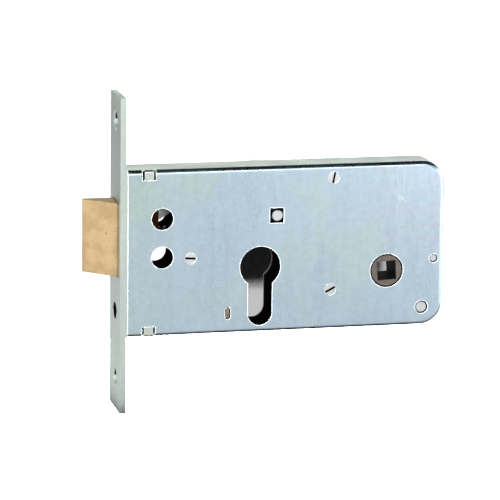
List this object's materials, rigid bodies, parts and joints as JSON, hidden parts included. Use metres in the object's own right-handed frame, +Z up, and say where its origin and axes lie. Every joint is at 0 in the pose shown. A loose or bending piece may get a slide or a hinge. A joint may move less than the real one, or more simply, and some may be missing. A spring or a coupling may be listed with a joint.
{
  "type": "mortise lock",
  "caption": "Mortise lock with a long flat forend, a beveled spring latch, a profile cylinder opening and a square spindle follower behind it, in a shallow case with rounded rear corners.",
  "frame": {"origin": "the cylinder axis at the middle of the case's thickness", "axes": "+X runs from the forend into the door, along the case; Y is across the case's thickness, with the cover at -Y and the latch's bevel facing -Y; +Z is up the forend"},
  "size_m": [0.1523, 0.022, 0.133],
  "materials": {
    "zinc_plate": "bright zinc plating with a fine upright grain",
    "cast_brass": "matt, tumbled",
    "plain_steel": "blanked, lightly oiled",
    "sintered_iron": "sintered, browned",
    "spring_wire": "drawn spring wire",
    "bronze_strip": "dull rolled strip"
  },
  "bodies": {
    "lock_case": {"forend": "zinc_plate", "forend_rivets": "zinc_plate", "cover": "zinc_plate", "side_plate": "zinc_plate", "front_wall": "zinc_plate", "top_wall": "zinc_plate", "bottom_wall": "zinc_plate", "rear_wall": "zinc_plate", "cover_screws": "zinc_plate", "screw_pillars": "plain_steel", "tail_guide_stud": "plain_steel", "latch_spring": "spring_wire", "spring_rod": "plain_steel", "spring_bracket": "plain_steel", "follower_spring": "spring_wire", "spring_stud": "zinc_plate", "stop_pin": "plain_steel", "lever_pivot": "zinc_plate", "lever_spring": "spring_wire", "screw_guide": "bronze_strip"},
    "latch": {"latch_head": "cast_brass", "latch_tail": "plain_steel", "tail_rivets": "plain_steel"},
    "follower_hub": {"follower": "sintered_iron"},
    "cylinder_lever_arm": {"cylinder_lever": "plain_steel"}
  },
  "joints": [
    {"name": "latch_slide", "type": "slide", "parent": "lock_case", "child": "latch", "axis": [1, 0, 0], "range_m": [0, 0.0126], "stiffness_N_per_m": 350, "springref_m": -0.01, "deforming": ["latch_spring"]},
    {"name": "follower_turn", "type": "hinge", "parent": "lock_case", "child": "follower_hub", "pos_m": [0.0546, 0, -0.0038], "axis": [0, 1, 0], "range_deg": [0, 32.9], "deforming": ["follower_spring"]},
    {"name": "cylinder_lever_turn", "type": "hinge", "parent": "lock_case", "child": "cylinder_lever_arm", "pos_m": [0.0071, 0, 0.0215], "axis": [0, 1, 0], "range_deg": [0, 65.8], "deforming": ["lever_spring"]}
  ],
  "couplings": [
    {"joint": "follower_turn", "follows": "latch_slide", "rad_per_m": 45.455},
    {"joint": "cylinder_lever_turn", "follows": "latch_slide", "rad_per_m": 90.909}
  ]
}
